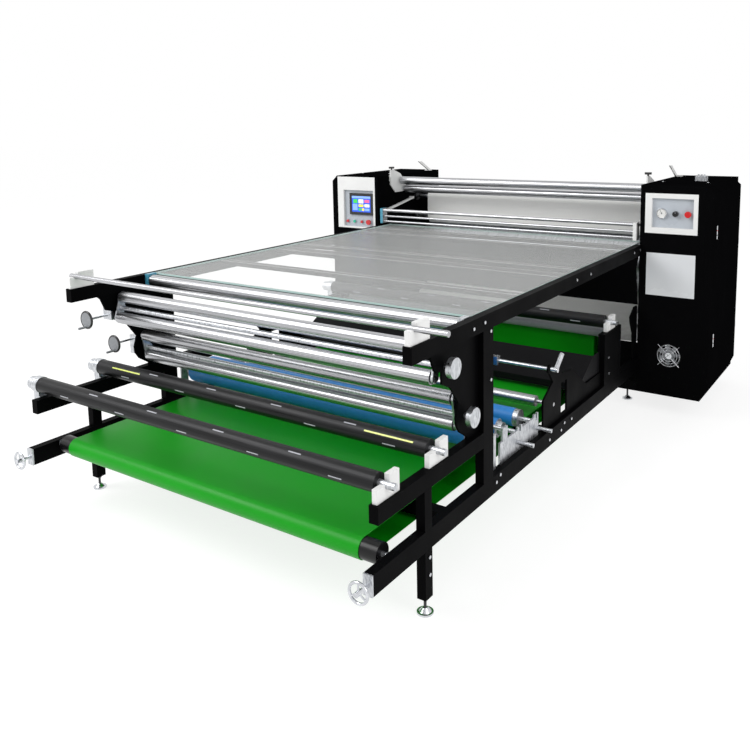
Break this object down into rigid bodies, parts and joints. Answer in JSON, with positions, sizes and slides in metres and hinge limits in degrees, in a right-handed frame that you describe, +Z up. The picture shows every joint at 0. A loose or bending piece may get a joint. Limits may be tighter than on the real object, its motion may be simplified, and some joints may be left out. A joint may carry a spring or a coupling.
{
  "type": "rotary drum heat transfer press",
  "caption": "Rotary drum heat transfer press: glass feed table, guide rollers and air shafts in front, heated drum with felt blanket between two cabinets, belt below.",
  "frame": {"origin": "centre of the machine's bounding box, on the floor under the levelling feet", "axes": "+X to the operator's right as seen from the feed side, +Y from the feed side to the drum, +Z up"},
  "size_m": [2.884, 4.055, 1.538],
  "materials": {
    "black_paint": "semi-gloss black powder coat",
    "cabinet_paint": "fine-textured black powder coat",
    "charcoal_paint": "satin charcoal powder coat",
    "white_paint": "gloss white paint",
    "zinc_steel": "zinc-plated steel",
    "bare_metal": "machined steel",
    "cast_metal": "machined cast housings, some enamelled blue-green or black",
    "drum_steel": "ground steel",
    "roller_chrome": "hard chrome",
    "wheel_chrome": "polished",
    "wire_chrome": "plated wire",
    "black_anodised": "black anodised",
    "black_roller": "black coated",
    "grey_roller": "grey rubber sleeve",
    "blue_rubber": "blue rubber sleeve",
    "green_belt": "smooth green belt",
    "white_felt": "needled felt",
    "clear_glass": "clear toughened glass",
    "display_glass": "dark touch screen and a white gauge dial",
    "drive_paint": "grey-blue enamel",
    "wheel_plastic": "black rim on a grey disc",
    "red_plastic": "gloss",
    "green_plastic": "gloss",
    "black_plastic": "matte",
    "grey_plastic": "matte"
  },
  "bodies": {
    "frame": {"main_frame": "black_paint", "levelling_feet": "zinc_steel", "side_plates": "black_paint", "glass_top": "clear_glass", "table_bars": "white_paint", "bearing_housings": "cast_metal", "conveyor_belt": "green_belt", "product_tray": "charcoal_paint", "roller_brackets": "bare_metal", "blanket": "white_felt", "front_guard": "black_paint", "cabinet_left": "cabinet_paint", "cabinet_right": "cabinet_paint", "control_panels": "white_paint", "panel_displays": "display_glass", "fan_guard": "wire_chrome", "drum_drive": "drive_paint", "guide_arms": "white_paint", "bolts": "zinc_steel"},
    "air_shaft_front": {"air_shaft_front": "black_anodised"},
    "air_shaft_second": {"air_shaft_second": "black_anodised"},
    "air_shaft_rear": {"air_shaft_rear": "black_anodised"},
    "swing_frame_front": {"swing_frame_front": "bare_metal"},
    "swing_frame_rear": {"swing_frame_rear": "bare_metal"},
    "swing_front_top_roller": {"swing_front_top_roller": "roller_chrome"},
    "swing_front_low_roller": {"swing_front_low_roller": "roller_chrome"},
    "swing_rear_top_roller": {"swing_rear_top_roller": "roller_chrome"},
    "swing_rear_low_roller": {"swing_rear_low_roller": "roller_chrome"},
    "swing_wheel_front": {"swing_wheel_front": "wheel_plastic"},
    "swing_wheel_rear": {"swing_wheel_rear": "wheel_plastic"},
    "table_front_roller": {"table_front_roller": "roller_chrome"},
    "blue_roller_front": {"blue_roller_front": "blue_rubber"},
    "blue_roller_second": {"blue_roller_second": "blue_rubber"},
    "blue_roller_middle": {"blue_roller_middle": "blue_rubber"},
    "blue_roller_rear": {"blue_roller_rear": "blue_rubber"},
    "belt_front_roller": {"belt_front_roller": "black_roller"},
    "belt_rear_roller": {"belt_rear_roller": "black_roller"},
    "belt_top_roller": {"belt_top_roller": "black_roller"},
    "lay_on_roller": {"lay_on_roller": "grey_roller"},
    "belt_wheel_left": {"belt_wheel_left": "wheel_chrome"},
    "belt_wheel_right": {"belt_wheel_right": "wheel_chrome"},
    "release_lever": {"release_lever": "wheel_chrome"},
    "lower_guide_roller": {"lower_guide_roller": "roller_chrome"},
    "drum": {"drum": "drum_steel"},
    "nip_roller": {"nip_roller": "bare_metal"},
    "top_front_roller": {"top_front_roller": "bare_metal"},
    "tension_roller": {"tension_roller": "bare_metal"},
    "lower_rear_roller": {"lower_rear_roller": "bare_metal"},
    "exit_roller": {"exit_roller": "bare_metal"},
    "guide_roller_upper": {"guide_roller_upper": "roller_chrome"},
    "guide_roller_lower": {"guide_roller_lower": "roller_chrome"},
    "door_left": {"door_left": "cabinet_paint"},
    "door_right": {"door_right": "cabinet_paint"},
    "stop_button": {"stop_button": "red_plastic"},
    "start_button": {"start_button": "green_plastic"},
    "reset_button": {"reset_button": "red_plastic"},
    "regulator_knob": {"regulator_knob": "black_plastic"},
    "e_stop_left": {"e_stop_left": "red_plastic"},
    "e_stop_right": {"e_stop_right": "red_plastic"},
    "fan_rotor": {"fan_rotor": "grey_plastic"}
  },
  "joints": [
    {"name": "air_shaft_front_spin", "type": "hinge", "parent": "frame", "child": "air_shaft_front", "pos_m": [0, -1.8445, 0.622], "axis": [1, 0, 0], "continuous": true},
    {"name": "air_shaft_second_spin", "type": "hinge", "parent": "frame", "child": "air_shaft_second", "pos_m": [0, -1.5025, 0.622], "axis": [1, 0, 0], "continuous": true},
    {"name": "air_shaft_rear_spin", "type": "hinge", "parent": "frame", "child": "air_shaft_rear", "pos_m": [0, 0.4575, 0.69], "axis": [1, 0, 0], "continuous": true},
    {"name": "swing_front_tilt", "type": "hinge", "parent": "frame", "child": "swing_frame_front", "pos_m": [0, -1.4195, 0.93], "axis": [1, 0, 0], "range_deg": [-20, 20]},
    {"name": "swing_front_wheel_turn", "type": "hinge", "parent": "frame", "child": "swing_wheel_front", "pos_m": [-1.04, -1.5735, 0.8878], "axis": [0, 1, 0], "range_deg": [-600, 600]},
    {"name": "swing_front_top_spin", "type": "hinge", "parent": "swing_frame_front", "child": "swing_front_top_roller", "pos_m": [0, -1.4125, 0.988], "axis": [1, 0, 0], "continuous": true},
    {"name": "swing_front_low_spin", "type": "hinge", "parent": "swing_frame_front", "child": "swing_front_low_roller", "pos_m": [0, -1.4385, 0.884], "axis": [1, 0, 0], "continuous": true},
    {"name": "swing_rear_tilt", "type": "hinge", "parent": "frame", "child": "swing_frame_rear", "pos_m": [0, -1.2645, 0.682], "axis": [1, 0, 0], "range_deg": [-20, 20]},
    {"name": "swing_rear_wheel_turn", "type": "hinge", "parent": "frame", "child": "swing_wheel_rear", "pos_m": [-1.04, -1.4185, 0.7242], "axis": [0, 1, 0], "range_deg": [-600, 600]},
    {"name": "swing_rear_top_spin", "type": "hinge", "parent": "swing_frame_rear", "child": "swing_rear_top_roller", "pos_m": [0, -1.2825, 0.752], "axis": [1, 0, 0], "continuous": true},
    {"name": "swing_rear_low_spin", "type": "hinge", "parent": "swing_frame_rear", "child": "swing_rear_low_roller", "pos_m": [0, -1.2635, 0.637], "axis": [1, 0, 0], "continuous": true},
    {"name": "table_roller_spin", "type": "hinge", "parent": "frame", "child": "table_front_roller", "pos_m": [0, -1.2145, 1.042], "axis": [1, 0, 0], "continuous": true},
    {"name": "blue_front_spin", "type": "hinge", "parent": "frame", "child": "blue_roller_front", "pos_m": [0, -1.0025, 0.494], "axis": [1, 0, 0], "continuous": true},
    {"name": "blue_second_spin", "type": "hinge", "parent": "frame", "child": "blue_roller_second", "pos_m": [0, -0.8855, 0.493], "axis": [1, 0, 0], "continuous": true},
    {"name": "blue_middle_spin", "type": "hinge", "parent": "frame", "child": "blue_roller_middle", "pos_m": [0, -0.7305, 0.424], "axis": [1, 0, 0], "continuous": true},
    {"name": "blue_rear_spin", "type": "hinge", "parent": "frame", "child": "blue_roller_rear", "pos_m": [0, -0.5445, 0.416], "axis": [1, 0, 0], "continuous": true},
    {"name": "belt_front_spin", "type": "hinge", "parent": "frame", "child": "belt_front_roller", "pos_m": [0, -1.7935, 0.323], "axis": [1, 0, 0], "continuous": true},
    {"name": "belt_rear_spin", "type": "hinge", "parent": "frame", "child": "belt_rear_roller", "pos_m": [0, 0.5959, 0.323], "axis": [1, 0, 0], "continuous": true},
    {"name": "belt_top_spin", "type": "hinge", "parent": "frame", "child": "belt_top_roller", "pos_m": [0, 0.6079, 0.6], "axis": [1, 0, 0], "continuous": true},
    {"name": "lay_on_spin", "type": "hinge", "parent": "frame", "child": "lay_on_roller", "pos_m": [0, 0.5421, 0.605], "axis": [1, 0, 0], "continuous": true},
    {"name": "belt_wheel_left_turn", "type": "hinge", "parent": "frame", "child": "belt_wheel_left", "pos_m": [-1, -2.0125, 0.303], "axis": [0, 1, 0], "range_deg": [-2160, 2160]},
    {"name": "belt_wheel_right_turn", "type": "hinge", "parent": "frame", "child": "belt_wheel_right", "pos_m": [1, -2.0125, 0.303], "axis": [0, 1, 0], "range_deg": [-2160, 2160]},
    {"name": "release_lever_swing", "type": "hinge", "parent": "frame", "child": "release_lever", "pos_m": [0, -0.4015, 0.642], "axis": [1, 0, 0], "range_deg": [-15, 75]},
    {"name": "lower_guide_spin", "type": "hinge", "parent": "frame", "child": "lower_guide_roller", "pos_m": [0, -0.3525, 0.445], "axis": [1, 0, 0], "continuous": true},
    {"name": "drum_spin", "type": "hinge", "parent": "frame", "child": "drum", "pos_m": [0, 1.6075, 0.85], "axis": [1, 0, 0], "continuous": true},
    {"name": "nip_spin", "type": "hinge", "parent": "frame", "child": "nip_roller", "pos_m": [0, 1.54052, 1.09998], "axis": [1, 0, 0], "continuous": true},
    {"name": "top_front_spin", "type": "hinge", "parent": "frame", "child": "top_front_roller", "pos_m": [0, 1.54052, 1.262], "axis": [1, 0, 0], "continuous": true},
    {"name": "tension_spin", "type": "hinge", "parent": "frame", "child": "tension_roller", "pos_m": [0, 1.8495, 1.262], "axis": [1, 0, 0], "continuous": true},
    {"name": "lower_rear_spin", "type": "hinge", "parent": "frame", "child": "lower_rear_roller", "pos_m": [0, 1.8495, 0.53], "axis": [1, 0, 0], "continuous": true},
    {"name": "exit_spin", "type": "hinge", "parent": "frame", "child": "exit_roller", "pos_m": [0, 1.4245, 0.43], "axis": [1, 0, 0], "continuous": true},
    {"name": "guide_upper_spin", "type": "hinge", "parent": "frame", "child": "guide_roller_upper", "pos_m": [0, 1.2825, 1.405], "axis": [1, 0, 0], "continuous": true},
    {"name": "guide_lower_spin", "type": "hinge", "parent": "frame", "child": "guide_roller_lower", "pos_m": [0, 1.3325, 1.338], "axis": [1, 0, 0], "continuous": true},
    {"name": "door_right_hinge", "type": "hinge", "parent": "frame", "child": "door_right", "pos_m": [1.434, 1.7705, 0.7], "axis": [0, 0, 1], "range_deg": [0, 110]},
    {"name": "door_left_hinge", "type": "hinge", "parent": "frame", "child": "door_left", "pos_m": [-1.434, 1.7705, 0.7], "axis": [0, 0, 1], "range_deg": [-110, 0]},
    {"name": "stop_button_press", "type": "slide", "parent": "frame", "child": "stop_button", "axis": [0, 1, 0], "range_m": [0, 0.004], "stiffness_N_per_m": 400},
    {"name": "start_button_press", "type": "slide", "parent": "frame", "child": "start_button", "axis": [0, 1, 0], "range_m": [0, 0.004], "stiffness_N_per_m": 400},
    {"name": "reset_button_press", "type": "slide", "parent": "frame", "child": "reset_button", "axis": [0, 1, 0], "range_m": [0, 0.004], "stiffness_N_per_m": 400},
    {"name": "e_stop_left_press", "type": "slide", "parent": "frame", "child": "e_stop_left", "axis": [0, 1, 0], "range_m": [0, 0.005], "stiffness_N_per_m": 800},
    {"name": "e_stop_right_press", "type": "slide", "parent": "frame", "child": "e_stop_right", "axis": [0, 1, 0], "range_m": [0, 0.005], "stiffness_N_per_m": 800},
    {"name": "regulator_knob_turn", "type": "hinge", "parent": "frame", "child": "regulator_knob", "pos_m": [1.218, 1.0025, 1.278], "axis": [0, 1, 0], "range_deg": [-900, 900]},
    {"name": "fan_spin", "type": "hinge", "parent": "frame", "child": "fan_rotor", "pos_m": [1.203, 1.0075, 0.383], "axis": [0, 1, 0], "continuous": true}
  ],
  "couplings": [
    {"joint": "swing_front_wheel_turn", "follows": "swing_front_tilt", "ratio": 30},
    {"joint": "swing_rear_wheel_turn", "follows": "swing_rear_tilt", "ratio": 30},
    {"joint": "belt_rear_spin", "follows": "belt_front_spin", "ratio": 1},
    {"joint": "belt_top_spin", "follows": "belt_front_spin", "ratio": 1.4},
    {"joint": "lay_on_spin", "follows": "belt_front_spin", "ratio": -1.3125},
    {"joint": "nip_spin", "follows": "drum_spin", "ratio": -5.25},
    {"joint": "top_front_spin", "follows": "drum_spin", "ratio": -5.25},
    {"joint": "tension_spin", "follows": "drum_spin", "ratio": -5.25},
    {"joint": "lower_rear_spin", "follows": "drum_spin", "ratio": -5.25},
    {"joint": "exit_spin", "follows": "drum_spin", "ratio": -2.1}
  ]
}
